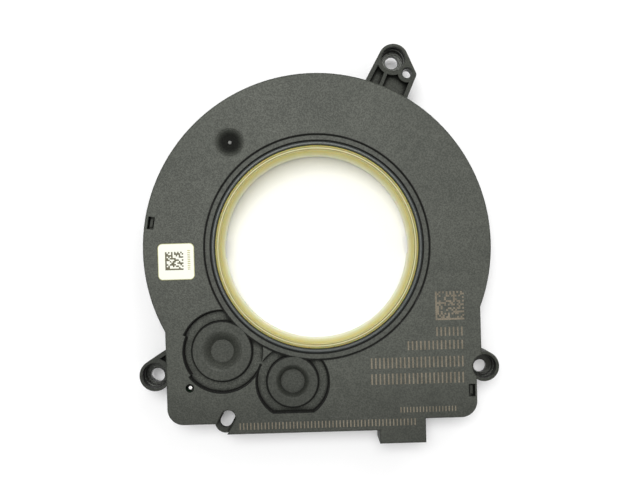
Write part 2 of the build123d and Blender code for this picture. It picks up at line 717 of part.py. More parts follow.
# Rear housing: a tray with a collar in which the hub turns, the ears, the locating slot and the
# connector socket
with BuildPart() as rear_housing:
    with BuildSketch(Plane.XY.offset(mounting_level)):
        add(body_outline)
    extrude(amount=seam_level - mounting_level)
    with BuildSketch(Plane.XY.offset(mounting_level)):
        add(ear_outlines.sketch)
    extrude(amount=ear_top - mounting_level)
    with BuildSketch(Plane.XY.offset(ear_top - upper_web_thickness)):
        add(upper_web.sketch)
    extrude(amount=upper_web_thickness)
    with BuildSketch(Plane.XY.offset(seam_level - lobe_drop - lobe_thickness)):
        add(slot_outline(slot_radius + slot_wall))
    extrude(amount=lobe_thickness)
    with BuildSketch(Plane.XY.offset(mounting_level)):
        Circle(centring_radius)
    extrude(amount=-collar_length)
    chamfer(rear_housing.edges().group_by(Axis.Z)[0], length=centring_chamfer)
    # room for the cover above the seam, and the chamber inside the wall
    with BuildSketch(Plane.XY.offset(seam_level)):
        add(cover_clearance)
    extrude(amount=ear_top - seam_level, mode=Mode.SUBTRACT)
    with BuildSketch(Plane.XY.offset(floor_top)):
        add(chamber_outline)
        add(connector_block.sketch, mode=Mode.SUBTRACT)
        with Locations(left_ear, right_ear):
            Circle(ear_radius, mode=Mode.SUBTRACT)
    extrude(amount=seam_level - floor_top, mode=Mode.SUBTRACT)
    with BuildSketch(Plane.XY.offset(mounting_level)):
        add(rear_panels.sketch)
    extrude(amount=rear_recess, mode=Mode.SUBTRACT)
    # lip inside the cover's skirt
    with BuildSketch(Plane.XY.offset(seam_level)):
        add(lip_outside)
        add(chamber_outline, mode=Mode.SUBTRACT)
    extrude(amount=lip_top - seam_level)
    # collar round the hub
    with BuildSketch(Plane.XY.offset(floor_top)):
        Circle(collar_radius)
    extrude(amount=collar_top - floor_top)
    with BuildSketch(Plane.XY.offset(-collar_length)):
        Circle(collar_bore)
    extrude(amount=collar_length + collar_top, mode=Mode.SUBTRACT)
    # stakes that hold the board, post for the dowel
    with BuildSketch(Plane.XY.offset(floor_top)):
        with Locations(stake_places):
            Circle(stake_shoulder_radius)
    extrude(amount=board_level - floor_top)
    with BuildSketch(Plane.XY.offset(board_level)):
        with Locations(stake_places):
            Circle(stake_radius)
    extrude(amount=board_thickness)
    with BuildSketch(Plane.XY.offset(board_top)):
        with Locations(stake_places):
            Circle(stake_head_radius)
    extrude(amount=stake_head_height, taper=stake_head_taper)
    with BuildSketch(Plane.XY.offset(floor_top)):
        with Locations(dowel_place):
            Circle(dowel_post_radius)
    extrude(amount=dowel_post_top - floor_top)
    with BuildSketch(Plane.XY.offset(dowel_post_top - dowel_seat)):
        with Locations(dowel_place):
            Circle(dowel_radius + pin_gap)
    extrude(amount=lip_top - dowel_post_top + dowel_seat, mode=Mode.SUBTRACT)
    # latches
    with BuildSketch(Plane.XY.offset(seam_level)):
        with Locations(*latch_locations):
            Rectangle(latch_width, latch_length)
    extrude(amount=face_level - latch_drop - seam_level)
    # each ear: a recess under the wall with the screw hole, and a cup with a foot above it
    for place, radius, cup, hole, hole_radius in ears:
        with BuildSketch(Plane.XY.offset(mounting_level)):
            with Locations(place):
                Circle(ear_recess_radius)
        extrude(amount=ear_recess_depth, mode=Mode.SUBTRACT)
        with BuildSketch(Plane.XY.offset(ear_recess_depth)):
            with Locations(hole):
                Circle(hole_radius)
        extrude(amount=ear_floor, mode=Mode.SUBTRACT)
        with BuildSketch(Plane.XY.offset(ear_recess_depth + ear_floor)):
            with Locations(place):
                Circle(cup - cup_foot_inset)
        extrude(amount=cup_foot_height, mode=Mode.SUBTRACT)
        with BuildSketch(Plane.XY.offset(ear_recess_depth + ear_floor + cup_foot_height)):
            with Locations(place):
                Circle(cup)
        extrude(
            amount=ear_top - ear_recess_depth - ear_floor - cup_foot_height, mode=Mode.SUBTRACT
        )
    # locating hole and slot, pockets of the ears
    with BuildSketch(Plane.XY.offset(mounting_level)):
        with Locations(locating_hole):
            Circle(locating_hole_radius)
        add(slot_outline(slot_radius))
    extrude(amount=ear_top - mounting_level, mode=Mode.SUBTRACT)
    with BuildSketch(Plane.XY.offset(ear_top - locating_rim_depth)):
        with Locations(locating_hole):
            Circle(locating_rim_radius)
    extrude(amount=locating_rim_depth, mode=Mode.SUBTRACT)
    with BuildSketch(Plane.XY.offset(ear_top - ear_pocket_depth)):
        add(ear_pockets.sketch)
    extrude(amount=ear_pocket_depth, mode=Mode.SUBTRACT)
    # connector socket with its coding rib, the plug's latch hole and the holes for the pins
    with BuildSketch(Plane.XZ.offset(tongue_edge)):
        with Locations((tongue_middle, board_top + pin_lift)):
            Rectangle(socket_width, socket_height)
        with Locations((tongue_middle, board_top + pin_lift + socket_height / 2)):
            Rectangle(
                coding_rib_width,
                coding_rib_height,
                align=(Align.CENTER, Align.MAX),
                mode=Mode.SUBTRACT,
            )
    extrude(amount=-socket_depth, mode=Mode.SUBTRACT)
    with BuildSketch(Plane.XY.offset(mounting_level)):
        with Locations((tongue_middle, -tongue_edge + plug_latch_setback)):
            Rectangle(plug_latch_width, plug_latch_length, align=(Align.CENTER, Align.MIN))
    extrude(amount=board_top - mounting_level, mode=Mode.SUBTRACT)
    with BuildSketch(Plane.XZ.offset(tongue_edge)):
        with Locations([(x, board_top + pin_lift) for x in pin_places]):
            Rectangle(pin_side + 2 * pin_gap, pin_side + 2 * pin_gap)
    extrude(amount=-(socket_depth + socket_back), mode=Mode.SUBTRACT)
    rear_housing.part.label = "rear_housing"

# Hub: a tube turned by the steering column, with a toothed flange and two drive slots
with BuildPart() as hub_gear:
    with BuildSketch(Plane.XY.offset(hub_rear)):
        Circle(hub_radius)
    extrude(amount=hub_front - hub_rear)
    with BuildSketch(Plane.XY.offset(hub_teeth_level)):
        add(gear_outline(hub_teeth, 0))
    extrude(amount=hub_teeth_top - hub_teeth_level)
    with BuildSketch(Plane.XY.offset(hub_rear)):
        Circle(bore_radius)
    extrude(amount=hub_front - hub_rear, mode=Mode.SUBTRACT)
    chamfer(hub_gear.edges().group_by(Axis.Z)[-1], length=hub_edge_chamfer)
    with BuildSketch(Plane.XY.offset(hub_rear)):
        Rectangle(3 * bore_radius, drive_slot_width)
    extrude(amount=drive_slot_depth, mode=Mode.SUBTRACT)
    hub_gear.part.label = "hub_gear"


def measuring_gear(teeth, angle, place, dome_radius, dish_radius):
    """Cup-shaped gear that turns on a spigot of the cover and holds a magnet underneath."""
    turned = gear_outline(teeth, meshing_turn(teeth, angle))
    bearing = dish_radius + spigot_wall + gear_clearance
    with BuildPart(Plane(origin=(*place, 0))) as gear:
        with BuildSketch(Plane(origin=(*place, teeth_level))):
            add(turned)
        extrude(amount=teeth_width)
        with BuildSketch(Plane(origin=(*place, teeth_level))):
            Circle(dome_radius - cover_skin - dome_gap)
        extrude(amount=gear_top - teeth_level)
        with BuildSketch(Plane(origin=(*place, gear_shoulder))):
            Circle(bearing)
        extrude(amount=gear_top - gear_shoulder, mode=Mode.SUBTRACT)
        with BuildSketch(Plane(origin=(*place, gear_cup_floor))):
            Circle(bearing + 2 * spigot_lip)
        extrude(amount=gear_shoulder - gear_cup_floor, mode=Mode.SUBTRACT)
        with BuildSketch(Plane(origin=(*place, teeth_level))):
            Circle(magnet_radius + magnet_gap)
        extrude(amount=magnet_height, mode=Mode.SUBTRACT)
    return gear.part


def magnet(place):
    """Disc magnet in the underside of a measuring gear."""
    with BuildPart() as disc:
        with BuildSketch(Plane(origin=(*place, teeth_level))):
            Circle(magnet_radius)
        extrude(amount=magnet_height)
    return disc.part


with BuildPart() as large_measuring_gear:
    add(
        measuring_gear(
            large_teeth, large_gear_angle, large_gear_place, large_dome_radius, large_dish_radius
        )
    )
    large_measuring_gear.part.label = "large_measuring_gear"

with BuildPart() as small_measuring_gear:
    add(
        measuring_gear(
            small_teeth, small_gear_angle, small_gear_place, small_dome_radius, small_dish_radius
        )
    )
    small_measuring_gear.part.label = "small_measuring_gear"

with BuildPart() as large_gear_magnet:
    add(magnet(large_gear_place))
    large_gear_magnet.part.label = "large_gear_magnet"

with BuildPart() as small_gear_magnet:
    add(magnet(small_gear_place))
    small_gear_magnet.part.label = "small_gear_magnet"

# Circuit board in the lower half of the housing, round the collar and the connector block
with BuildPart() as circuit_board:
    with BuildSketch(Plane.XY.offset(board_level)):
        add(board_inside)
        with Locations((0, board_top_edge)):
            Rectangle(
                3 * disc_radius, disc_radius, align=(Align.CENTER, Align.MIN), mode=Mode.SUBTRACT
            )
        Circle(board_inner_radius, mode=Mode.SUBTRACT)
        with Locations((tongue_middle, -tongue_edge)):
            Rectangle(
                tongue_width + 2 * (socket_side + board_margin),
                socket_depth + socket_back + board_margin,
                align=(Align.CENTER, Align.MIN),
                mode=Mode.SUBTRACT,
            )
        with Locations(stake_places):
            Circle(stake_radius + stake_hole_gap, mode=Mode.SUBTRACT)
        with Locations(dowel_place):
            Circle(dowel_post_radius + board_margin, mode=Mode.SUBTRACT)
        with Locations([(x, contact_row) for x in pin_places]):
            Circle(pin_hole_radius, mode=Mode.SUBTRACT)
    extrude(amount=board_thickness)
    circuit_board.part.label = "circuit_board"

# Contact pins: out of the board, over its edge and through the block's back wall into the socket
with BuildPart() as contact_pins:
    with BuildSketch(Plane.XZ.offset(tongue_edge - pin_tip_gap)):
        with Locations([(x, board_top + pin_lift) for x in pin_places]):
            Rectangle(pin_side, pin_side)
    extrude(amount=-(tongue_edge - pin_tip_gap + contact_row + pin_side / 2))
    with BuildSketch(Plane.XY.offset(board_level - pin_tail)):
        with Locations([(x, contact_row) for x in pin_places]):
            Rectangle(pin_side, pin_side)
    extrude(amount=board_thickness + pin_tail + pin_lift)
    contact_pins.part.label = "contact_pins"


def leaded_chip(place, size, leads, four_sided=False):
    """Moulded chip on the board: a body with tapered sides and a row of leads on two or four sides."""
    length, width, height = size
    pitch = length / (leads + 1)
    lead_length = lead_reach + 2 * lead_overlap
    with BuildPart() as chip:
        with BuildSketch(Plane(origin=(*place, board_top))):
            Rectangle(length, width)
        extrude(amount=height, taper=chip_taper)
        with BuildSketch(Plane(origin=(*place, board_top))):
            with GridLocations(pitch, width + lead_reach, leads, 2):
                Rectangle(lead_width, lead_length)
            if four_sided:
                with GridLocations(length + lead_reach, pitch, 2, leads):
                    Rectangle(lead_length, lead_width)
        extrude(amount=lead_thickness)
    return chip.part


def blocks(size, places):
    """Small two-ended parts on the board, all alike: low blocks with chamfered upper edges."""
    length, width, height = size
    with BuildPart() as group:
        with BuildSketch(Plane.XY.offset(board_top)):
            with Locations(places):
                Rectangle(length, width)
        extrude(amount=height)
        chamfer(group.edges().group_by(Axis.Z)[-1], length=block_chamfer * height)
    return group.part


electronics = {
    "large_gear_angle_chip": leaded_chip(large_gear_place, angle_chip_size, side_lead_count),
    "small_gear_angle_chip": leaded_chip(small_gear_place, angle_chip_size, side_lead_count),
    "microcontroller": leaded_chip(
        board_points["controller"], controller_size, controller_lead_count, four_sided=True
    ),
    "bus_transceiver": leaded_chip(
        board_places([], [transceiver_offset])[0], transceiver_size, side_lead_count
    ),
    "voltage_regulator": leaded_chip(
        board_points["regulator"], regulator_size, regulator_lead_count
    ),
    "bus_choke": blocks(choke_size, board_places([], [choke_offset])),
    "crystal": blocks(crystal_size, board_places([crystal_angle], [])),
    "protection_diode": blocks(diode_size, board_places([], [diode_offset])),
    "tantalum_capacitors": blocks(tantalum_size, board_places(tantalum_angles, [])),
    "ceramic_capacitors": blocks(ceramic_size, board_places([ceramic_angle], ceramic_offsets)),
    "chip_resistors": blocks(resistor_size, board_places(resistor_angles, resistor_offsets)),
}

# Dowel whose tip shows through the small hole in the cover
with BuildPart() as locating_dowel:
    with BuildSketch(Plane.XY.offset(dowel_post_top - dowel_seat)):
        with Locations(dowel_place):
            Circle(dowel_radius)
    extrude(amount=face_level - dowel_drop - (dowel_post_top - dowel_seat))
    locating_dowel.part.label = "locating_dowel"

# Code label on the front face
with BuildPart() as code_label:
    with BuildSketch(Plane.XY.offset(face_level)):
        with Locations(label_place):
            RectangleRounded(label_side, label_side, label_corner)
    extrude(amount=label_thickness)
    code_label.part.label = "code_label"

export_step(front_cover.part, "parts/front_cover.step")
export_step(rear_housing.part, "parts/rear_housing.step")
export_step(hub_gear.part, "parts/hub_gear.step")
export_step(large_measuring_gear.part, "parts/large_measuring_gear.step")
export_step(small_measuring_gear.part, "parts/small_measuring_gear.step")
export_step(large_gear_magnet.part, "parts/large_gear_magnet.step")
export_step(small_gear_magnet.part, "parts/small_gear_magnet.step")
export_step(circuit_board.part, "parts/circuit_board.step")
export_step(contact_pins.part, "parts/contact_pins.step")
export_step(locating_dowel.part, "parts/locating_dowel.step")
export_step(code_label.part, "parts/code_label.step")
for name, piece in electronics.items():
    piece.label = name
    export_step(piece, f"parts/{name}.step")
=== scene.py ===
import math

import bpy
import numpy as np
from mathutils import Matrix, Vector


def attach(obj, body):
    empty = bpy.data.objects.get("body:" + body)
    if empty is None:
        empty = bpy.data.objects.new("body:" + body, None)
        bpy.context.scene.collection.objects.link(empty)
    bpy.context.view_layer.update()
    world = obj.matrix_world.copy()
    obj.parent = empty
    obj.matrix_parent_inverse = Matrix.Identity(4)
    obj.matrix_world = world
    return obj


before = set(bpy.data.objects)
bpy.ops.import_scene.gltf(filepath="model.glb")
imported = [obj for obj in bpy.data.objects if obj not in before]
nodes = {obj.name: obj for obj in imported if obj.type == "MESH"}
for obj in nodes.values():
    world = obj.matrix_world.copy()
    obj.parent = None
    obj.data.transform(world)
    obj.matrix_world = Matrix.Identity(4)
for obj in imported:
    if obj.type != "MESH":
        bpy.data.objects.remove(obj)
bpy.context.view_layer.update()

# Lengths are in metres, and MM turns a length in millimetres into metres.
MM = 0.001
FACE_LEVEL = 10.2 * MM
LABEL_LEVEL = 10.28 * MM
FLOOR_LEVEL = -6.0 * MM
FLOOR_HALF = 1.2
CAMERA_PLACE = (-1.75 * MM, 0.022 * MM, 234.2 * MM)
CAMERA_TURN = math.radians(-1.65)
CAMERA_SHIFT = (9.4, 7.0)  # pixels of the photograph
PHOTO_WIDTH = 640

# Where the studio round the part changes, by the sine of the elevation.
HORIZON_BAND = (0.14, 0.32)
CEILING_BAND = (0.62, 0.88)

# Places for materials are in plain millimetres, as the place group gives them, with turns in
# degrees from +X. A pair is where a change begins and where it ends.
LAND_RADIUS = 31.75
LAND_FOOT = 31.6
BEAD_RADIUS = 29.7
DUSTY_RADII = (31.0, 28.8)
# Places of Y between which painted shade darkens the cover towards its lower edge.
PAINTED_SHADE_DOWN = (-30.0, -54.0)
RAISED_LEVEL = 9.25
POCKET_LEVEL = 9.0
SCRATCH_LEVELS = (8.7, 9.0)
DOME_PLACES = [(-27.459, -28.534), (-7.853, -37.589)]
DOME_RADII = (8.37, 7.13)
POCKET_RADII = (11.6, 10.26)
POCKET_STEP = 0.75
POCKET_STEP_TURN = 186.0
POCKET_STEP_HALF = 30.0
POCKET_FLAT = -46.15
WEDGE_TURN = 242.7  # between the domes
WEDGE_HALF = 5.5
WEDGE_RADIUS = 36.6
GATE_PLACE = (-23.6, 30.0)
GATE_RADII = (1.9, 4.6)
GATE_NUB_RADII = (0.6, 0.42)
GATE_NUB_LEVELS = (9.35, 9.5)
CUPS = [(-46.5, -34.9, 3.7), (46.1, -34.9, 3.5), (22.997, 52.301, 3.5), (26.846, 48.232, 1.6)]
CUP_LEVELS = (9.15, 9.1)
HUB_FRONT = 9.4
HUB_RIM = 28.2
PALE_RING = 27.76
DARK_RINGS = (28.05, 27.47)
RING_HALF = 0.11
TURNED_RINGS = 17.0  # of the sine along the radius, in radians per millimetre
LABEL_PLACE = (-39.5, -3.0)
LABEL_HALF = 5.1
LABEL_CORNER = 1.3
FLOOR_FADE = (250.0, 600.0)

# Rows of etched ticks in millimetres: right end, middle, length and pitch of the row, then the
# width and height of a tick.
ETCHED_ROWS = {
    "etched_ticks_0": (40.5, -24.7, 9.1, 1.16, 0.42, 2.5),
    "etched_ticks_1": (40.5, -28.4, 17.2, 1.16, 0.42, 2.5),
    "etched_ticks_2": (40.5, -33.1, 27.6, 1.16, 0.42, 3.0),
    "etched_ticks_3": (40.5, -37.6, 27.2, 1.16, 0.42, 3.0),
    "etched_ticks_low": (38.0, -46.3, 17.0, 0.9, 0.3, 1.5),
    "etched_ticks_edge": (26.6, -49.7, 50.0, 1.0, 0.3, 1.9),
}

# Plain finishes: light and dark colour, lowest and highest roughness, size of a grain in
# millimetres, and metallic share.
PLAIN_FINISHES = {
    "gear_plastic": ((0.76, 0.74, 0.66), (0.68, 0.66, 0.58), (0.35, 0.5), 0.4, 0.0),
    "magnet": ((0.2, 0.19, 0.19), (0.12, 0.12, 0.12), (0.4, 0.6), 0.2, 0.8),
    "tin_plating": ((0.72, 0.7, 0.66), (0.55, 0.53, 0.5), (0.2, 0.4), 0.2, 1.0),
    "chip_moulding": ((0.045, 0.045, 0.045), (0.03, 0.03, 0.03), (0.5, 0.7), 0.15, 0.0),
    "ferrite": ((0.11, 0.1, 0.1), (0.07, 0.065, 0.065), (0.5, 0.7), 0.2, 0.0),
    "drawn_can": ((0.66, 0.63, 0.58), (0.5, 0.48, 0.45), (0.22, 0.4), 0.3, 1.0),
    "ochre_moulding": ((0.55, 0.3, 0.03), (0.45, 0.24, 0.02), (0.4, 0.6), 0.2, 0.0),
    "fired_ceramic": ((0.34, 0.24, 0.13), (0.26, 0.18, 0.1), (0.4, 0.6), 0.15, 0.0),
    "ground_steel": ((0.75, 0.74, 0.72), (0.6, 0.6, 0.58), (0.2, 0.35), 0.2, 1.0),
    "olive_ink": ((0.11, 0.1, 0.045), (0.08, 0.075, 0.03), (0.45, 0.6), 0.3, 0.0),
    "yellow_ink": ((0.5, 0.46, 0.12), (0.4, 0.36, 0.1), (0.45, 0.6), 0.3, 0.0),
}

NODE_FINISHES = {
    "front_cover": "cover_plastic",
    "rear_housing": "housing_plastic",
    "hub_gear": "hub_plastic",
    "large_measuring_gear": "gear_plastic",
    "small_measuring_gear": "gear_plastic",
    "large_gear_magnet": "magnet",
    "small_gear_magnet": "magnet",
    "circuit_board": "solder_mask",
    "contact_pins": "tin_plating",
    "large_gear_angle_chip": "chip_moulding",
    "small_gear_angle_chip": "chip_moulding",
    "microcontroller": "chip_moulding",
    "bus_transceiver": "chip_moulding",
    "voltage_regulator": "chip_moulding",
    "protection_diode": "chip_moulding",
    "chip_resistors": "chip_moulding",
    "bus_choke": "ferrite",
    "crystal": "drawn_can",
    "tantalum_capacitors": "ochre_moulding",
    "ceramic_capacitors": "fired_ceramic",
    "locating_dowel": "ground_steel",
    "code_label": "label_film",
}


def make_camera():
    """Camera that looks straight down, from where the photograph was taken."""
    data = bpy.data.cameras.new("camera")
    data.lens = 45.0
    data.sensor_width = 36.0
    data.shift_x = CAMERA_SHIFT[0] / PHOTO_WIDTH
    data.shift_y = CAMERA_SHIFT[1] / PHOTO_WIDTH
    data.clip_start = 0.01
    data.clip_end = 20.0
    camera = bpy.data.objects.new("camera", data)
    bpy.context.scene.collection.objects.link(camera)
    camera.location = CAMERA_PLACE
    camera.rotation_euler = (0.0, 0.0, CAMERA_TURN)
    bpy.context.scene.camera = camera


def make_area_light(name, place, size, energy):
    """Square area light at a place, aimed at the origin."""
    data = bpy.data.lights.new(name, "AREA")
    data.shape = "SQUARE"
    data.size = size
    data.energy = energy
    light = bpy.data.objects.new(name, data)
    bpy.context.scene.collection.objects.link(light)
    light.location = place
    light.rotation_euler = Vector(place).to_track_quat("Z", "Y").to_euler()
    light.visible_camera = False


def make_world(horizon, walls, ceiling):
    """Studio all round: a white band at the horizon, darker walls above it and a bright ceiling.

    The three strengths follow the height of the view, which is the sine of its elevation.
    """
    world = bpy.data.worlds.new("studio")
    bpy.context.scene.world = world
    world.use_nodes = True
    tree = world.node_tree
    background = tree.nodes["Background"]
    background.inputs["Color"].default_value = rgb(1.0, 1.0, 1.0)
    direction = put(tree, "TexCoord").outputs["Generated"]
    height = put(tree, "SeparateXYZ", {0: direction}).outputs[2]
    lower = span(tree, height, *HORIZON_BAND, horizon, walls)
    upper = span(tree, height, *CEILING_BAND, 0.0, ceiling - walls)
    tree.links.new(calc(tree, "ADD", lower, upper), background.inputs["Strength"])


def put(tree, kind, inputs=None, **settings):
    """Adds a shader node with its options set, and its inputs set or linked by name or number."""
    made = tree.nodes.new("ShaderNode" + kind)
    for name, value in settings.items():
        setattr(made, name, value)
    for key, value in (inputs or {}).items():
        if isinstance(value, bpy.types.NodeSocket):
            tree.links.new(value, made.inputs[key])
        else:
            made.inputs[key].default_value = value
    return made


def calc(tree, operation, first, second=0.0):
    """Result of one operation on two numbers."""
    return put(tree, "Math", {0: first, 1: second}, operation=operation).outputs[0]


def more(tree, value, mask, amount):
    """Number to which an amount is added where the mask is 1."""
    return calc(tree, "ADD", value, calc(tree, "MULTIPLY", mask, amount))


def gap(tree, first, second):
    """Difference of two numbers without its sign."""
    return calc(tree, "ABSOLUTE", calc(tree, "SUBTRACT", first, second))


def span(tree, value, low, high, to_low=0.0, to_high=1.0):
    """Number that runs smoothly from to_low to to_high as value goes from low to high."""
    inputs = {"Value": value, 1: low, 2: high, 3: to_low, 4: to_high}
    made = put(tree, "MapRange", inputs, interpolation_type="SMOOTHSTEP")
    return made.outputs["Result"]


def beyond(tree, value, edge, soft=0.05):
    """1 above an edge and 0 below it, with a smooth change soft wide on either side."""
    return span(tree, value, edge - soft, edge + soft)


def within(tree, value, edge, soft=0.05):
    """1 below an edge and 0 above it, with a smooth change soft wide on either side."""
    return span(tree, value, edge + soft, edge - soft)


def blend(tree, factor, first, second):
    """Colour between two colours."""
    made = put(tree, "Mix", {0: factor, 6: first, 7: second}, data_type="RGBA")
    return made.outputs[2]


def tint(tree, colour, factor):
    """Colour made lighter or darker by a factor."""
    scaled = put(tree, "VectorMath", {0: colour, "Scale": factor}, operation="SCALE")
    return scaled.outputs[0]


def shade(tree, colour, mask, low, high):
    """Colour made lighter or darker by a factor that runs from low to high with the mask."""
    return tint(tree, colour, span(tree, mask, 0.0, 1.0, low, high))


def rgb(red, green, blue):
    """Colour with full opacity from three linear shares."""
    return (red, green, blue, 1.0)


def new_group(name, inputs, outputs):
    """Node group and its two end nodes; all its inputs and outputs but Normal are floats."""
    tree = bpy.data.node_groups.new(name, "ShaderNodeTree")
    for side, labels in (("INPUT", inputs), ("OUTPUT", outputs)):
        for label in labels:
            kind = "NodeSocketVector" if label == "Normal" else "NodeSocketFloat"
            tree.interface.new_socket(label, in_out=side, socket_type=kind)
    return tree, tree.nodes.new("NodeGroupInput"), tree.nodes.new("NodeGroupOutput")


def give(tree, end, **values):
    """Links values to a group's outputs by name, and returns the group."""
    for label, value in values.items():
        tree.links.new(value, end.inputs[label])
    return tree


def make_place_group():
    """Group that gives a point's X, Y and Z in millimetres and its distance from the bore axis."""
    tree, _, end = new_group("place", [], ["X", "Y", "Height", "Radius"])
    point = put(tree, "TexCoord").outputs["Object"]
    parts = put(tree, "SeparateXYZ", {0: point}).outputs
    x, y, z = [calc(tree, "MULTIPLY", part, 1.0 / MM) for part in parts]
    flat = put(tree, "CombineXYZ", {0: x, 1: y}).outputs[0]
    radius = put(tree, "VectorMath", {0: flat}, operation="LENGTH").outputs["Value"]
    return give(tree, end, X=x, Y=y, Height=z, Radius=radius)


def make_grain_group():
    """Group for moulded grain: cloudy tone, fine tone and the height of the grain.

    Size is the width of one grain in millimetres. Clouds is broad tone from 0 to 1, Fine is tone
    at the size of the grain and Relief mixes rounded cells with noise.
    """
    tree, start, end = new_group("grain", ["Size"], ["Clouds", "Fine", "Relief"])
    point = put(tree, "TexCoord").outputs["Object"]
    scale = calc(tree, "DIVIDE", 1.0 / MM, start.outputs["Size"])
    wide = put(tree, "TexNoise", {"Vector": point, "Scale": 55.0, "Detail": 3.0, "Roughness": 0.6})
    middle = put(tree, "TexNoise", {"Vector": point, "Scale": 420.0, "Detail": 3.0, "Roughness": 0.6})
    fine = put(tree, "TexNoise", {"Vector": point, "Scale": scale, "Detail": 2.0, "Roughness": 0.65})
    cells = put(tree, "TexVoronoi", {"Vector": point, "Scale": scale}, feature="F1")
    clouds = more(tree, calc(tree, "MULTIPLY", wide.outputs[0], 0.6), middle.outputs[0], 0.4)
    relief = more(tree, calc(tree, "MULTIPLY", fine.outputs[0], 0.6), cells.outputs["Distance"], 0.4)
    clouds = span(tree, clouds, 0.36, 0.64)
    tone = span(tree, fine.outputs[0], 0.3, 0.7)
    return give(tree, end, Clouds=clouds, Fine=tone, Relief=relief)


def make_speck_group():
    """Group for scattered specks: 1 inside a speck and 0 outside it.

    Spacing is the mean distance between places in millimetres, Radius a speck's greatest radius
    and Share the share of the places that have one.
    """
    tree, start, end = new_group("specks", ["Spacing", "Radius", "Share"], ["Mask"])
    point = put(tree, "TexCoord").outputs["Object"]
    scale = calc(tree, "DIVIDE", 1.0 / MM, start.outputs["Spacing"])
    spots = put(tree, "TexVoronoi", {"Vector": point, "Scale": scale}, feature="F1")
    dice = put(tree, "SeparateColor", {0: spots.outputs["Color"]})
    chosen = calc(tree, "LESS_THAN", dice.outputs[0], start.outputs["Share"])
    reach = calc(tree, "DIVIDE", start.outputs["Radius"], start.outputs["Spacing"])
    reach = calc(tree, "MULTIPLY", reach, calc(tree, "ADD", dice.outputs[1], 0.25))
    inside = calc(tree, "SUBTRACT", reach, spots.outputs["Distance"])
    mask = calc(tree, "MULTIPLY", span(tree, inside, 0.0, 0.02), chosen)
    return give(tree, end, Mask=mask)


def make_edge_group():
    """Group for edges, eased over Reach metres: a mask of where they lie, and their eased normal."""
    tree, start, end = new_group("edges", ["Reach"], ["Mask", "Normal"])
    eased = put(tree, "Bevel", {"Radius": start.outputs["Reach"]}, samples=6).outputs[0]
    facing = put(tree, "NewGeometry").outputs["Normal"]
    same = put(tree, "VectorMath", {0: eased, 1: facing}, operation="DOT_PRODUCT")
    mask = span(tree, same.outputs["Value"], 0.98, 0.72)
    return give(tree, end, Mask=mask, Normal=eased)


def make_scratch_group():
    """Group for fine scratches: 1 on a scratch and 0 off it.

    Noise is drawn out across Turn, in radians from +X, so that its peaks are thin streaks, and a
    broader noise leaves them in patches only.
    """
    tree, start, end = new_group("scratches", ["Turn"], ["Mask"])
    point = put(tree, "TexCoord").outputs["Object"]
    inputs = {"Vector": point, "Angle": start.outputs["Turn"]}
    turned = put(tree, "VectorRotate", inputs, rotation_type="Z_AXIS").outputs[0]
    inputs = {0: turned, 1: (90.0, 2200.0, 90.0)}
    drawn = put(tree, "VectorMath", inputs, operation="MULTIPLY").outputs[0]
    streaks = put(tree, "TexNoise", {"Vector": drawn, "Scale": 1.0, "Detail": 1.0}).outputs[0]
    patches = put(tree, "TexNoise", {"Vector": point, "Scale": 60.0, "Detail": 1.0}).outputs[0]
    patchy = span(tree, patches, 0.5, 0.62)
    mask = calc(tree, "MULTIPLY", span(tree, streaks, 0.66, 0.78), patchy)
    return give(tree, end, Mask=mask)


def make_corner_group():
    """Group for corners: from 0 in a tight corner to 1 in the open, as seen within Reach metres."""
    tree, start, end = new_group("corners", ["Reach"], ["Open"])
    inputs = {"Distance": start.outputs["Reach"]}
    seen = put(tree, "AmbientOcclusion", inputs, samples=6, only_local=True)
    return give(tree, end, Open=span(tree, seen.outputs["AO"], 0.4, 0.95))


place_group = make_place_group()
grain_group = make_grain_group()
speck_group = make_speck_group()
edge_group = make_edge_group()
scratch_group = make_scratch_group()
corner_group = make_corner_group()


def use(tree, group, inputs=None):
    """Adds a node of a group, with its inputs set."""
    made = tree.nodes.new("ShaderNodeGroup")
    made.node_tree = group
    for key, value in (inputs or {}).items():
        made.inputs[key].default_value = value
    return made


def new_material(name, **plain):
    """Material with a Principled shader, its plain values set by input name, and its node tree."""
    material = bpy.data.materials.new(name)
    material.use_nodes = True
    tree = material.node_tree
    shader = tree.nodes["Principled BSDF"]
    for key, value in plain.items():
        shader.inputs[key.replace("_", " ")].default_value = value
    return material, tree, shader


def bump(tree, height, depth, normal=None):
    """Normal of a surface with relief: height from 0 to 1, depth in metres."""
    inputs = {"Height": height, "Strength": 1.0, "Distance": depth}
    if normal is not None:
        inputs["Normal"] = normal
    return put(tree, "Bump", inputs).outputs[0]


def link(tree, shader, colour, roughness, normal):
    """Links a colour, a roughness and a normal to the shader."""
    tree.links.new(colour, shader.inputs["Base Color"])
    tree.links.new(roughness, shader.inputs["Roughness"])
    tree.links.new(normal, shader.inputs["Normal"])


def distance_from(tree, place, x, y):
    """Distance in millimetres, seen from the front, from a place given in millimetres."""
    flat = put(tree, "CombineXYZ", {0: place.outputs["X"], 1: place.outputs["Y"]}).outputs[0]
    away = put(tree, "VectorMath", {0: flat, 1: (x, y, 0.0)}, operation="DISTANCE")
    return away.outputs["Value"]


def facing_turn(tree, place, middle, away, turn, half):
    """1 where the way from a middle, which is away long, lies within half degrees of a turn."""
    angle = math.radians(turn)
    side = 0.0
    for axis, start, share in zip("XY", middle, (math.cos(angle), math.sin(angle))):
        side = more(tree, side, calc(tree, "SUBTRACT", place.outputs[axis], start), share)
    side = calc(tree, "DIVIDE", side, away)
    return calc(tree, "GREATER_THAN", side, math.cos(math.radians(half)))


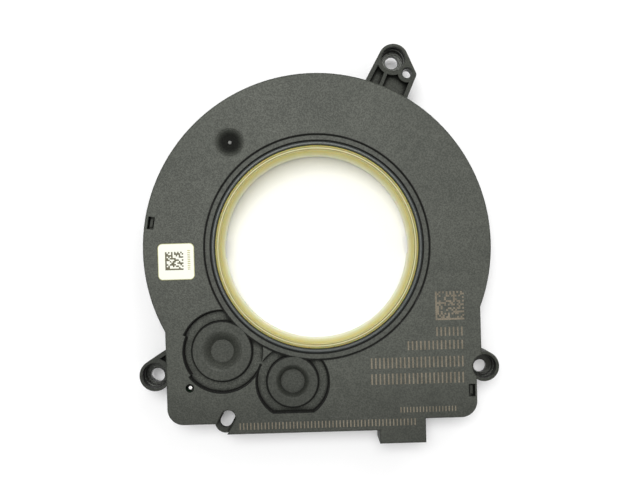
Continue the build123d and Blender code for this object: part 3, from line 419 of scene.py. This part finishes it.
def pocket_inset(tree, place, away):
    """Distance in millimetres from a point in the pocket to its outer edge, negative outside.

    The edge is two circles round the domes, of which the larger is stepped in on its outer side
    and the smaller is cut straight below; away holds the distances from the domes' middles.
    """
    stepped = facing_turn(
        tree, place, DOME_PLACES[0], away[0], POCKET_STEP_TURN, POCKET_STEP_HALF
    )
    edge = more(tree, POCKET_RADII[0], stepped, -POCKET_STEP)
    large = calc(tree, "SUBTRACT", edge, away[0])
    below = calc(tree, "SUBTRACT", place.outputs["Y"], POCKET_FLAT)
    small = calc(tree, "MINIMUM", calc(tree, "SUBTRACT", POCKET_RADII[1], away[1]), below)
    return calc(tree, "MAXIMUM", large, small)


def painted_shade_lines(tree, place, away, in_dome, past_land):
    """Tone of painted shade: nearly 0 on its lines and 1 off them.

    They lie at the land's foot, along the pocket's walls and round the domes, but not on the
    wedge between the domes; away holds the distances from the domes' middles.
    """
    radius = place.outputs["Radius"]
    foot = span(tree, gap(tree, radius, LAND_FOOT), 0.15, 0.4, 0.05, 1.0)
    foot = calc(tree, "MAXIMUM", foot, in_dome)
    inset = pocket_inset(tree, place, away)
    wall = calc(tree, "MAXIMUM", span(tree, inset, -0.1, -0.35), span(tree, inset, 0.25, 0.65))
    wedge = facing_turn(tree, place, (0.0, 0.0), radius, WEDGE_TURN, WEDGE_HALF)
    wedge = calc(tree, "MULTIPLY", wedge, within(tree, radius, WEDGE_RADIUS, 0.2))
    wall = calc(tree, "MAXIMUM", wall, wedge)
    for dome, off in zip(DOME_RADII, away):
        round_dome = span(tree, gap(tree, off, dome + 0.1), 0.14, 0.45, 0.03, 1.0)
        wall = calc(tree, "MINIMUM", wall, round_dome)
    wall = span(tree, wall, 0.0, 1.0, 0.03, 1.0)
    wall = calc(tree, "MAXIMUM", wall, calc(tree, "SUBTRACT", 1.0, past_land))
    return calc(tree, "MULTIPLY", foot, wall)


def gate_zone(tree, place, colour, rough):
    """Colour and roughness of the gate dimple, which painted shade makes nearly black round its pale
    nub.
    """
    away = distance_from(tree, place, *GATE_PLACE)
    # Painted shade: the dimple darkens towards the nub, and its sheen is dulled with roughness.
    dimple = span(tree, away, *GATE_RADII, 0.1, 1.0)
    colour = tint(tree, colour, dimple)
    rough = more(tree, rough, calc(tree, "SUBTRACT", 1.0, dimple), 0.5)
    top = span(tree, place.outputs["Height"], *GATE_NUB_LEVELS)
    nub = calc(tree, "MULTIPLY", span(tree, away, *GATE_NUB_RADII), top)
    return blend(tree, nub, colour, rgb(0.2, 0.2, 0.19)), rough


def cover_zones(tree, colour, rough):
    """Colour and roughness of the cover's zones, from those of its plain face.

    The land is a little darker, painted shade darkens the cover towards its lower edge and in the
    domes, the pocket is coarser, the bead is smoother, painted shade lies in dark lines, and dust
    lies round the hub.
    """
    place = use(tree, place_group)
    radius, height = place.outputs["Radius"], place.outputs["Height"]
    raised = beyond(tree, height, RAISED_LEVEL)
    land = calc(tree, "MULTIPLY", within(tree, radius, LAND_RADIUS), raised)
    colour = blend(tree, land, colour, tint(tree, colour, 0.88))
    # Painted shade: the cover darkens towards its lower edge, and is rougher there.
    low = span(tree, place.outputs["Y"], *PAINTED_SHADE_DOWN)
    colour = shade(tree, colour, low, 1.0, 0.7)
    rough = more(tree, rough, low, 0.07)

    past_land = beyond(tree, radius, LAND_RADIUS - 0.1)
    pocket = calc(tree, "MULTIPLY", within(tree, height, POCKET_LEVEL), past_land)
    in_dome = 0.0
    away = [distance_from(tree, place, *middle) for middle in DOME_PLACES]
    for dome, off in zip(DOME_RADII, away):
        pocket = calc(tree, "MULTIPLY", pocket, beyond(tree, off, dome - 0.05))
        in_dome = calc(tree, "MAXIMUM", in_dome, within(tree, off, dome - 0.15))
    coarse = use(tree, grain_group, {"Size": 0.45})
    sparkle = span(tree, coarse.outputs["Fine"], 0.2, 1.0, 0.6, 1.2)
    colour = blend(tree, pocket, colour, tint(tree, colour, sparkle))
    # Painted shade: the domes' dishes are darker.
    colour = blend(tree, in_dome, colour, tint(tree, colour, 0.7))
    rough = more(tree, rough, calc(tree, "ADD", pocket, in_dome), 0.04)

    bead = calc(tree, "MULTIPLY", within(tree, radius, BEAD_RADIUS), raised)
    colour = blend(tree, bead, colour, rgb(0.05, 0.056, 0.056))
    rough = more(tree, rough, bead, -0.15)

    # Painted shade: dark, rougher lines at the land's foot, along the pocket's walls and round the
    # domes.
    unshaded = painted_shade_lines(tree, place, away, in_dome, past_land)
    colour = tint(tree, colour, unshaded)
    rough = more(tree, rough, calc(tree, "SUBTRACT", 1.0, unshaded), 0.45)

    dust = use(tree, speck_group, {"Spacing": 0.9, "Radius": 0.16, "Share": 0.1})
    dusty = calc(tree, "MULTIPLY", span(tree, radius, *DUSTY_RADII), raised)
    dusty = calc(tree, "MULTIPLY", calc(tree, "MULTIPLY", dust.outputs["Mask"], dusty), 0.6)
    colour = blend(tree, dusty, colour, rgb(0.3, 0.25, 0.12))
    return gate_zone(tree, place, colour, rough)


def cup_zones(tree, colour, rough):
    """Colour and roughness of the housing, whose screw cups are darkened with painted shade and
    glossy.
    """
    place = use(tree, place_group)
    inside = 0.0
    for x, y, reach in CUPS:
        cup = span(tree, distance_from(tree, place, x, y), reach, reach - 0.05)
        inside = calc(tree, "MAXIMUM", inside, cup)
    inside = calc(tree, "MULTIPLY", inside, span(tree, place.outputs["Height"], *CUP_LEVELS))
    # Painted shade: the insides of the screw cups are darker.
    colour = shade(tree, colour, inside, 1.0, 0.3)
    return colour, more(tree, rough, inside, calc(tree, "SUBTRACT", 0.28, rough))


def black_plastic(name, light, dark, zones, smooth, coarse, shine):
    """Glass-filled black plastic with moulded grain, cloudy tone, pale specks and fine scratches.

    Its edges are lighter with a painted highlight, its corners darkened with painted shade, its
    roughness runs from smooth to coarse with the grain, and zones changes its colour and
    roughness by place.
    """
    material, tree, shader = new_material(
        name, Specular_IOR_Level=shine, Specular_Tint=rgb(0.97, 1.0, 0.92)
    )
    grain = use(tree, grain_group, {"Size": 0.42}).outputs
    specks = use(tree, speck_group, {"Spacing": 3.4, "Radius": 0.13, "Share": 0.2})
    edges = use(tree, edge_group, {"Reach": 0.22 * MM})
    open_share = use(tree, corner_group, {"Reach": 1.8 * MM}).outputs["Open"]
    colour = shade(tree, blend(tree, grain["Clouds"], dark, light), grain["Fine"], 0.7, 1.3)
    rough = span(tree, grain["Fine"], 0.0, 1.0, coarse, smooth)
    # Painted shade: corners darken as ambient occlusion finds them, and are rougher.
    colour = shade(tree, colour, open_share, 0.1, 1.0)
    rough = calc(tree, "ADD", rough, span(tree, open_share, 0.0, 1.0, 0.45, 0.0))
    colour, rough = zones(tree, colour, rough)
    on_top = span(tree, use(tree, place_group).outputs["Height"], *SCRATCH_LEVELS, 0.0, 0.15)
    for turn in (0.25, 2.0):
        scratches = use(tree, scratch_group, {"Turn": turn})
        scratched = calc(tree, "MULTIPLY", scratches.outputs["Mask"], on_top)
        colour = blend(tree, scratched, colour, rgb(0.2, 0.2, 0.19))
    speckled = calc(tree, "MULTIPLY", specks.outputs["Mask"], 0.5)
    colour = blend(tree, speckled, colour, rgb(0.22, 0.22, 0.2))
    # Painted highlight: the edges are lighter, as where they catch the light.
    edge_highlight = calc(tree, "MULTIPLY", edges.outputs["Mask"], 0.25)
    colour = blend(tree, edge_highlight, colour, rgb(0.12, 0.12, 0.115))
    link(tree, shader, colour, rough, bump(tree, grain["Relief"], 0.06 * MM, edges.outputs["Normal"]))
    return material


def cream_plastic(name):
    """Unfilled cream plastic: greyer on its front; on its wall a painted glow, yellow near the front
    and paler towards its rear, where light from the floor comes through.

    Fine turned rings show on the front, with brown dirt in places.
    """
    material, tree, shader = new_material(
        name, Specular_IOR_Level=0.4, Subsurface_Weight=0.3, Subsurface_Scale=2.0 * MM
    )
    place = use(tree, place_group)
    radius, height = place.outputs["Radius"], place.outputs["Height"]
    grain = use(tree, grain_group, {"Size": 0.6}).outputs
    specks = use(tree, speck_group, {"Spacing": 0.8, "Radius": 0.2, "Share": 0.3})
    at_front = beyond(tree, height, HUB_FRONT, 0.1)
    # Painted light: the wall's yellow glow of light through the plastic, paler towards the rear where
    # the floor lights it.
    wall = blend(tree, span(tree, height, 7.5, 3.5), rgb(0.62, 0.54, 0.1), rgb(0.68, 0.64, 0.26))
    wall = blend(tree, span(tree, height, 3.5, -3.5), wall, rgb(0.84, 0.84, 0.66))
    front = blend(tree, grain["Clouds"], rgb(0.44, 0.4, 0.15), rgb(0.53, 0.5, 0.22))
    front = blend(tree, beyond(tree, radius, HUB_RIM, 0.1), front, rgb(0.5, 0.44, 0.13))
    pale = calc(tree, "MULTIPLY", within(tree, gap(tree, radius, PALE_RING), RING_HALF), 0.7)
    front = blend(tree, pale, front, rgb(0.58, 0.56, 0.34))
    broken = span(tree, grain["Clouds"], 0.1, 0.7, 0.45, 0.95)
    for line in DARK_RINGS:
        on_line = within(tree, gap(tree, radius, line), RING_HALF)
        dark = calc(tree, "MULTIPLY", on_line, broken)
        front = blend(tree, dark, front, rgb(0.17, 0.15, 0.05))
    colour = blend(tree, at_front, wall, front)
    at_rim = calc(tree, "MULTIPLY", beyond(tree, radius, HUB_RIM, 0.2), at_front)
    dirt = calc(tree, "MULTIPLY", specks.outputs["Mask"], calc(tree, "MULTIPLY", at_rim, 0.75))
    colour = blend(tree, dirt, colour, rgb(0.16, 0.1, 0.03))
    rough = span(tree, grain["Fine"], 0.0, 1.0, 0.45, 0.6)
    edges = use(tree, edge_group, {"Reach": 0.2 * MM})
    rings = calc(tree, "SINE", calc(tree, "MULTIPLY", radius, TURNED_RINGS))
    relief = more(tree, grain["Relief"], rings, 0.5)
    link(tree, shader, colour, rough, bump(tree, relief, 0.01 * MM, edges.outputs["Normal"]))
    return material


def plain_finish(name, light, dark, rough_range, grain_size, metallic):
    """Finish of one colour with cloudy tone, fine grain and slightly lighter edges."""
    material, tree, shader = new_material(name, Specular_IOR_Level=0.5, Metallic=metallic)
    grain = use(tree, grain_group, {"Size": grain_size}).outputs
    edges = use(tree, edge_group, {"Reach": 0.1 * MM}).outputs
    colour = blend(tree, grain["Clouds"], rgb(*dark), rgb(*light))
    colour = shade(tree, colour, grain["Fine"], 0.92, 1.08)
    colour = shade(tree, colour, edges["Mask"], 1.0, 1.15)
    rough = span(tree, grain["Fine"], 0.0, 1.0, *rough_range)
    link(tree, shader, colour, rough, bump(tree, grain["Relief"], 0.01 * MM, edges["Normal"]))
    return material


def circuit_board_finish(name):
    """Green solder mask over copper tracks, which show as a paler, raised pattern."""
    material, tree, shader = new_material(name, Specular_IOR_Level=0.5)
    point = put(tree, "TexCoord").outputs["Object"]
    inputs = {"Vector": point, "Scale": 260.0, "Mortar Size": 0.035, "Mortar Smooth": 0.1}
    tracks = put(tree, "TexBrick", inputs).outputs["Fac"]
    grain = use(tree, grain_group, {"Size": 0.4}).outputs
    green = blend(tree, grain["Clouds"], rgb(0.012, 0.07, 0.025), rgb(0.016, 0.095, 0.035))
    colour = blend(tree, tracks, green, rgb(0.04, 0.17, 0.06))
    rough = span(tree, grain["Fine"], 0.0, 1.0, 0.25, 0.35)
    link(tree, shader, colour, rough, bump(tree, tracks, 0.03 * MM))
    return material


def paper_finish(name):
    """White printed film, a little cloudy, with an olive edge where it was cut."""
    material, tree, shader = new_material(name, Specular_IOR_Level=0.4)
    grain = use(tree, grain_group, {"Size": 0.35}).outputs
    place = use(tree, place_group)
    past = []
    for axis, middle in zip("XY", LABEL_PLACE):
        off = gap(tree, place.outputs[axis], middle)
        beside = calc(tree, "SUBTRACT", off, LABEL_HALF - LABEL_CORNER)
        past.append(calc(tree, "MAXIMUM", beside, 0.0))
    corner = put(tree, "CombineXYZ", {0: past[0], 1: past[1]}).outputs[0]
    reach = put(tree, "VectorMath", {0: corner}, operation="LENGTH").outputs["Value"]
    rim = span(tree, reach, LABEL_CORNER - 0.25, LABEL_CORNER - 0.06)
    colour = blend(tree, grain["Clouds"], rgb(0.84, 0.85, 0.74), rgb(0.88, 0.89, 0.78))
    colour = blend(tree, rim, colour, rgb(0.42, 0.41, 0.16))
    rough = span(tree, grain["Fine"], 0.0, 1.0, 0.5, 0.6)
    link(tree, shader, colour, rough, bump(tree, grain["Relief"], 0.004 * MM))
    return material


def etched_finish(name):
    """Tan, matt plastic where a laser has bleached the surface, patchy and uneven."""
    material, tree, shader = new_material(name, Specular_IOR_Level=0.3)
    grain = use(tree, grain_group, {"Size": 0.3}).outputs
    colour = blend(tree, grain["Clouds"], rgb(0.13, 0.112, 0.08), rgb(0.22, 0.19, 0.14))
    colour = shade(tree, colour, grain["Fine"], 0.75, 1.15)
    rough = span(tree, grain["Fine"], 0.0, 1.0, 0.65, 0.8)
    link(tree, shader, colour, rough, bump(tree, grain["Relief"], 0.01 * MM))
    return material


def make_finishes():
    """All finishes by name."""
    finishes = {name: plain_finish(name, *values) for name, values in PLAIN_FINISHES.items()}
    light, dark = rgb(0.046, 0.049, 0.04), rgb(0.032, 0.035, 0.028)
    finishes["cover_plastic"] = black_plastic(
        "cover_plastic", light, dark, cover_zones, smooth=0.515, coarse=0.585, shine=0.5
    )
    light, dark = rgb(0.026, 0.028, 0.022), rgb(0.018, 0.019, 0.016)
    finishes["housing_plastic"] = black_plastic(
        "housing_plastic", light, dark, cup_zones, smooth=0.55, coarse=0.62, shine=0.34
    )
    finishes["hub_plastic"] = cream_plastic("hub_plastic")
    finishes["solder_mask"] = circuit_board_finish("solder_mask")
    finishes["label_film"] = paper_finish("label_film")
    finishes["etched_plastic"] = etched_finish("etched_plastic")
    return finishes


def matrix_cells(count, seed):
    """Dark cells of a generic square matrix, as (column, row) places.

    Two sides are whole, the other two alternate and the inside is random, so it encodes nothing.
    """
    dark = np.random.default_rng(seed).random((count, count)) < 0.42
    dark[:, 0] = True
    dark[0, :] = True
    dark[:, -1] = np.arange(count) % 2 == 0
    dark[-1, :] = np.arange(count) % 2 == 0
    rows, columns = np.nonzero(dark)
    return np.stack([columns, rows], 1)


def matrix_blocks(centre, side, count, seed):
    """Centres and the size of the dark cells of a square matrix with that side in metres."""
    cell = side / count
    corner = np.asarray(centre) - side / 2 + cell / 2
    return corner + matrix_cells(count, seed) * cell, (cell * 1.02, cell * 1.02)


def tick_row(right, middle, length, pitch):
    """Centres of a row of even ticks that ends at right, in metres."""
    count = int(length / pitch)
    along = right - pitch * (np.arange(count) + 0.5)
    return np.stack([along, np.full(count, middle)], 1)


def thin_blocks(name, centres, sizes, bottom, top, material, body):
    """One mesh of upright blocks, all from bottom to top, on centres and with sizes in metres.

    Corner k of a block is its centre plus half its size times the signs of k's first two bits, and
    its height is bottom or top by the third bit.
    """
    centres = np.asarray(centres, float)
    sizes = np.broadcast_to(np.asarray(sizes, float), centres.shape)
    bits = (np.arange(8)[:, None] >> np.arange(3)) & 1
    flat = centres[:, None, :] + sizes[:, None, :] * (bits[None, :, :2] - 0.5)
    heights = np.where(bits[:, 2] == 1, top, bottom)
    heights = np.broadcast_to(heights[None, :, None], (*flat.shape[:2], 1))
    points = np.concatenate([flat, heights], 2)
    sides = [(0, 2, 3, 1), (4, 5, 7, 6), (0, 1, 5, 4), (2, 6, 7, 3), (0, 4, 6, 2), (1, 3, 7, 5)]
    faces = (np.arange(len(centres))[:, None, None] * 8 + np.array(sides)[None]).reshape(-1, 4)
    mesh = bpy.data.meshes.new(name)
    mesh.from_pydata(points.reshape(-1, 3).tolist(), [], faces.tolist())
    mesh.update()
    piece = bpy.data.objects.new(name, mesh)
    bpy.context.scene.collection.objects.link(piece)
    mesh.materials.append(material)
    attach(piece, body)


def make_marks(etched, ink, pale):
    """Etched marks of the front face and the print of the label, all generic."""
    low, high = FACE_LEVEL - 0.02 * MM, FACE_LEVEL + 0.012 * MM
    centres, size = matrix_blocks((36.68 * MM, -17.47 * MM), side=8.0 * MM, count=16, seed=3)
    thin_blocks("etched_matrix", centres, size, low, high, etched, "housing")
    for name, (right, middle, length, pitch, width, height) in ETCHED_ROWS.items():
        ticks = tick_row(right * MM, middle * MM, length * MM, pitch * MM)
        size = (width * MM, height * MM)
        thin_blocks(name, ticks, size, low, high, etched, "housing")
    low, high = LABEL_LEVEL - 0.01 * MM, LABEL_LEVEL + 0.01 * MM
    centres, size = matrix_blocks((-40.0 * MM, -2.8 * MM), side=5.1 * MM, count=12, seed=11)
    thin_blocks("label_matrix", centres, size, low, high, ink, "housing")
    down = tick_row(0.3 * MM, 0.0, length=6.1 * MM, pitch=0.52 * MM)[:, 0]
    ticks = np.stack([np.full(len(down), -35.9 * MM), down], 1)
    size = (0.75 * MM, 0.22 * MM)
    thin_blocks("label_ticks", ticks, size, low, high, pale, "housing")


def make_floor():
    """Plain pale floor on which the part lies, which shows plain white far away from it."""
    mesh = bpy.data.meshes.new("floor")
    corners = [(x * FLOOR_HALF, y * FLOOR_HALF, 0.0) for x, y in [(-1, -1), (1, -1), (1, 1), (-1, 1)]]
    mesh.from_pydata(corners, [], [(0, 1, 2, 3)])
    floor = bpy.data.objects.new("floor", mesh)
    floor.location = (0.0, 0.0, FLOOR_LEVEL)
    bpy.context.scene.collection.objects.link(floor)
    material, tree, shader = new_material("floor_white", Specular_IOR_Level=0.0, Roughness=0.9)
    shader.inputs["Base Color"].default_value = rgb(0.98, 0.98, 0.98)
    rays = put(tree, "LightPath").outputs
    seen = calc(tree, "MAXIMUM", rays["Is Camera Ray"], rays["Is Glossy Ray"])
    seen = calc(tree, "MAXIMUM", seen, rays["Is Transmission Ray"])
    far = span(tree, use(tree, place_group).outputs["Radius"], *FLOOR_FADE)
    factor = calc(tree, "MULTIPLY", seen, far)
    white = put(tree, "Emission", {"Color": rgb(1.0, 1.0, 1.0), "Strength": 1.0}).outputs[0]
    mixed = put(tree, "MixShader", {0: factor, 1: shader.outputs[0], 2: white})
    tree.links.new(mixed.outputs[0], tree.nodes["Material Output"].inputs["Surface"])
    mesh.materials.append(material)


finishes = make_finishes()
for name, piece in nodes.items():
    piece.data.materials.clear()
    piece.data.materials.append(finishes[NODE_FINISHES[name]])

bpy.context.scene.view_settings.view_transform = "Standard"
make_camera()
make_world(horizon=1.0, walls=0.14, ceiling=0.8)
make_area_light("key", (-0.06, 0.18, 0.9), size=0.35, energy=5.4)
make_area_light("fill", (0.3, 0.6, 0.6), size=0.4, energy=1.0)
make_floor()
make_marks(finishes["etched_plastic"], finishes["olive_ink"], finishes["yellow_ink"])
